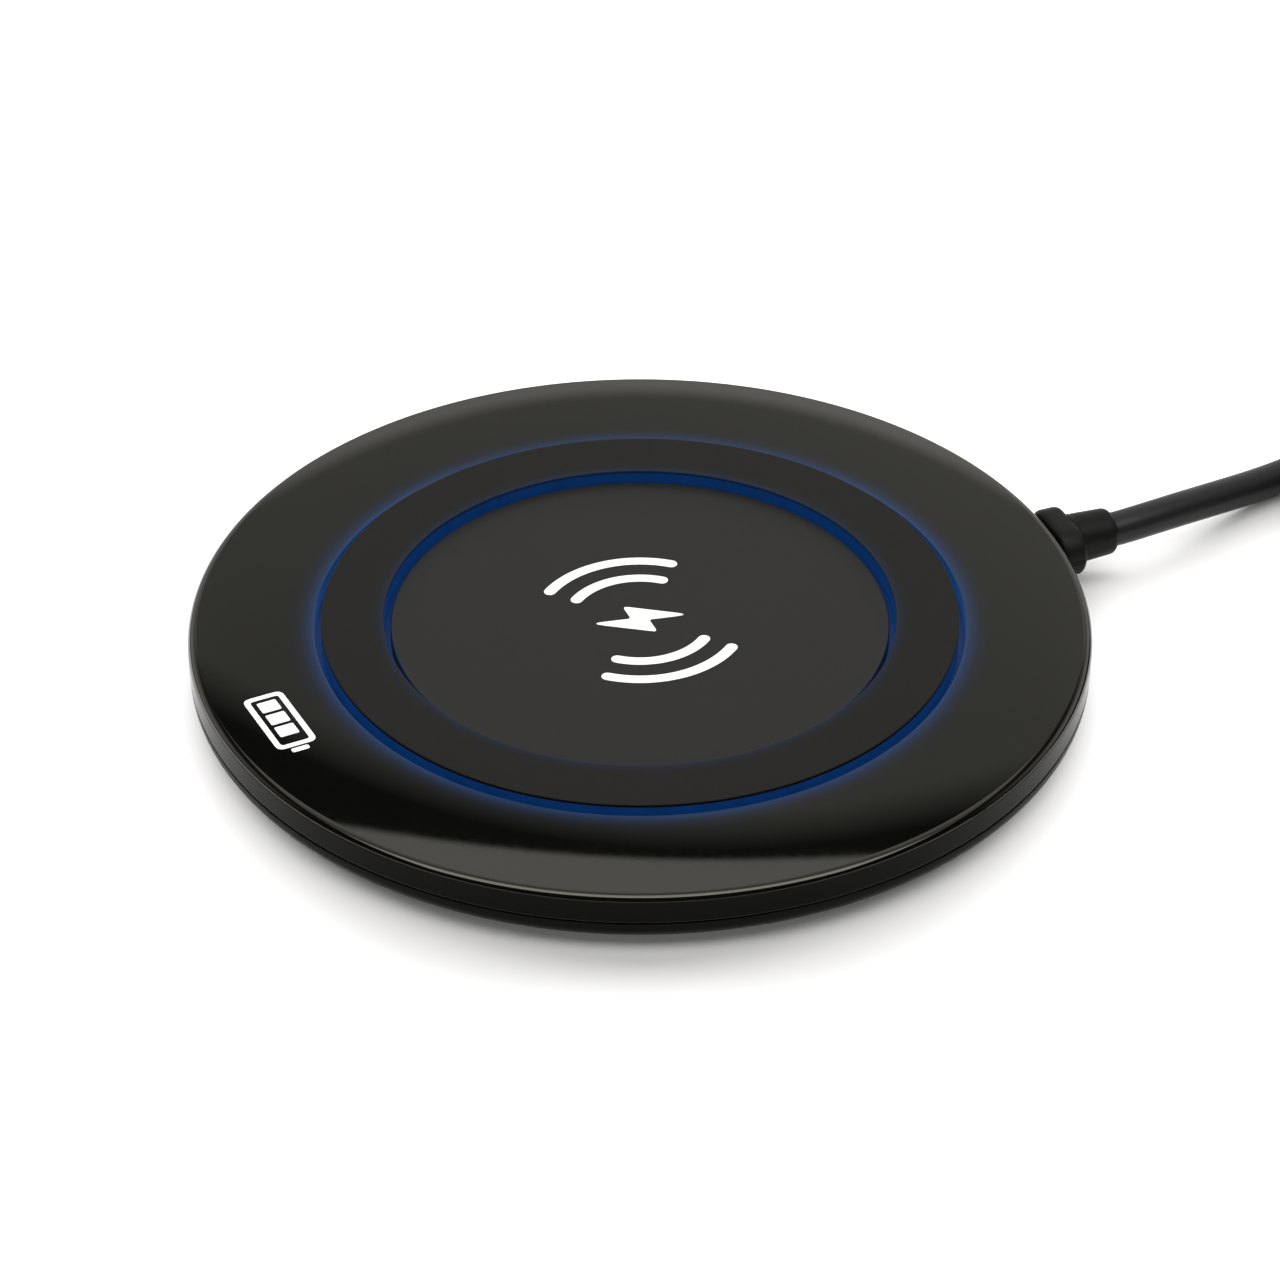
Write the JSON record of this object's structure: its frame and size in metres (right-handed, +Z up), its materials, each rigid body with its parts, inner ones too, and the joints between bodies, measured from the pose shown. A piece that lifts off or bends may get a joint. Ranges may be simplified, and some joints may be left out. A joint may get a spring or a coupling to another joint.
{
  "type": "wireless charging pad",
  "caption": "Low round desk pad with a raised matte ring between lit grooves, a glossy rim and a thin detachable power lead stored as a tied coil.",
  "frame": {"origin": "centre of the circle that the pad's feet stand on, on the surface it stands on", "axes": "+Z up out of the charging face, +Y out of the power socket at the rear, +X to the right seen from the front"},
  "size_m": [0.1272, 0.1842, 0.0136],
  "materials": {
    "gloss_rim": "polished black moulding",
    "lower_shell": "fine satin black moulding",
    "ring_matte": "soft-touch matte black",
    "disc_matte": null,
    "light_guide": "translucent blue-lit diffuser",
    "foot_rubber": "matte",
    "screw_steel": "plated",
    "connector_steel": "nickel plated sheet",
    "contact_gold": "gold plated",
    "connector_insert": "moulded insulator",
    "board_green": "solder mask",
    "chip_black": "epoxy package",
    "ceramic_tan": "fired ceramic body",
    "crystal_can": "metal can",
    "led_white": "moulded lens",
    "copper_wire": "enamelled copper strand",
    "ferrite": "sintered, matt",
    "tape_yellow": "adhesive polyimide film",
    "cable_jacket": "smooth extruded jacket",
    "plug_black": "fine matt overmoulding",
    "tie_black": "soft strap"
  },
  "bodies": {
    "pad": {"bottom_shell": "lower_shell", "rim_cover": "gloss_rim", "light_guide": "light_guide", "grip_ring": "ring_matte", "centre_disc": "disc_matte", "ferrite_plate": "ferrite", "coil_tape": "tape_yellow", "charging_coil": "copper_wire", "coil_lead_outer": "copper_wire", "coil_lead_inner": "copper_wire", "main_board": "board_green", "power_controller": "chip_black", "filter_inductor": "chip_black", "input_capacitor": "ceramic_tan", "clock_crystal": "crystal_can", "thermistor": "ceramic_tan", "socket_shell": "connector_steel", "socket_tongue": "connector_insert", "case_screw_1": "screw_steel", "foot_1": "foot_rubber", "mosfet_1": "chip_black", "resonant_capacitor_1": "ceramic_tan", "case_screw_2": "screw_steel", "foot_2": "foot_rubber", "mosfet_2": "chip_black", "resonant_capacitor_2": "ceramic_tan", "case_screw_3": "screw_steel", "foot_3": "foot_rubber", "mosfet_3": "chip_black", "resonant_capacitor_3": "ceramic_tan", "case_screw_4": "screw_steel", "foot_4": "foot_rubber", "mosfet_4": "chip_black", "resonant_capacitor_4": "ceramic_tan", "led_1": "led_white", "led_2": "led_white", "led_3": "led_white", "led_4": "led_white", "led_5": "led_white", "led_6": "led_white", "led_7": "led_white", "led_8": "led_white"},
    "lead": {"micro_plug_shell": "connector_steel", "micro_plug_insert": "connector_insert", "micro_plug_body": "plug_black", "micro_plug_neck": "plug_black", "cable_run": "cable_jacket", "cable_tail": "cable_jacket", "cable_coil": "cable_jacket", "cable_tie": "tie_black", "usb_a_neck": "plug_black", "usb_a_body": "plug_black", "usb_a_shell": "connector_steel", "usb_a_insert": "connector_insert", "usb_a_contact_1": "contact_gold", "usb_a_contact_2": "contact_gold", "usb_a_contact_3": "contact_gold", "usb_a_contact_4": "contact_gold"}
  },
  "joints": [
    {"name": "plug_slide", "type": "slide", "parent": "pad", "child": "lead", "axis": [0, 1, 0], "range_m": [0, 0.007]}
  ]
}
